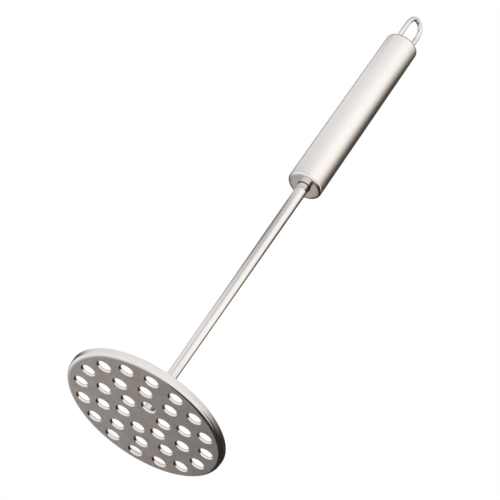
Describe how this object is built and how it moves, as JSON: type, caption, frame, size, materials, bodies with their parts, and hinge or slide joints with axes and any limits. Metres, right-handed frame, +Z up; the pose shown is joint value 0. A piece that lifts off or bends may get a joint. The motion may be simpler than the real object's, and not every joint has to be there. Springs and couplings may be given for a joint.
{
  "type": "potato masher",
  "caption": "Hand masher: a round perforated plate with a low upturned rim on a straight tapered rod, with a hollow tubular handle and a wire hanging loop, all stainless steel.",
  "frame": {"origin": "centre of the mashing plate's flat underside", "axes": "+Z up along the rod and the handle; the hanging loop lies in the XZ plane, so its eye opens along Y"},
  "size_m": [0.0864, 0.0864, 0.301],
  "materials": {
    "plate_steel": "stamped stainless steel, satin face and polished rim",
    "rod_steel": "polished stainless steel",
    "handle_steel": "satin stainless steel tube",
    "cap_steel": "semi-polished stainless steel",
    "loop_wire_steel": "polished stainless steel wire",
    "weld_steel": "brushed weld bead",
    "plug_steel": "turned steel, hidden in the handle"
  },
  "bodies": {
    "root": {"mashing_plate": "plate_steel", "stem_rod": "rod_steel", "stem_foot_weld": "weld_steel", "handle_tube": "handle_steel", "lower_end_cap": "cap_steel", "stem_anchor_plug": "plug_steel", "stem_anchor_weld": "weld_steel", "upper_end_cap": "cap_steel", "hanging_loop": "loop_wire_steel", "loop_leg_welds": "weld_steel"}
  },
  "joints": []
}
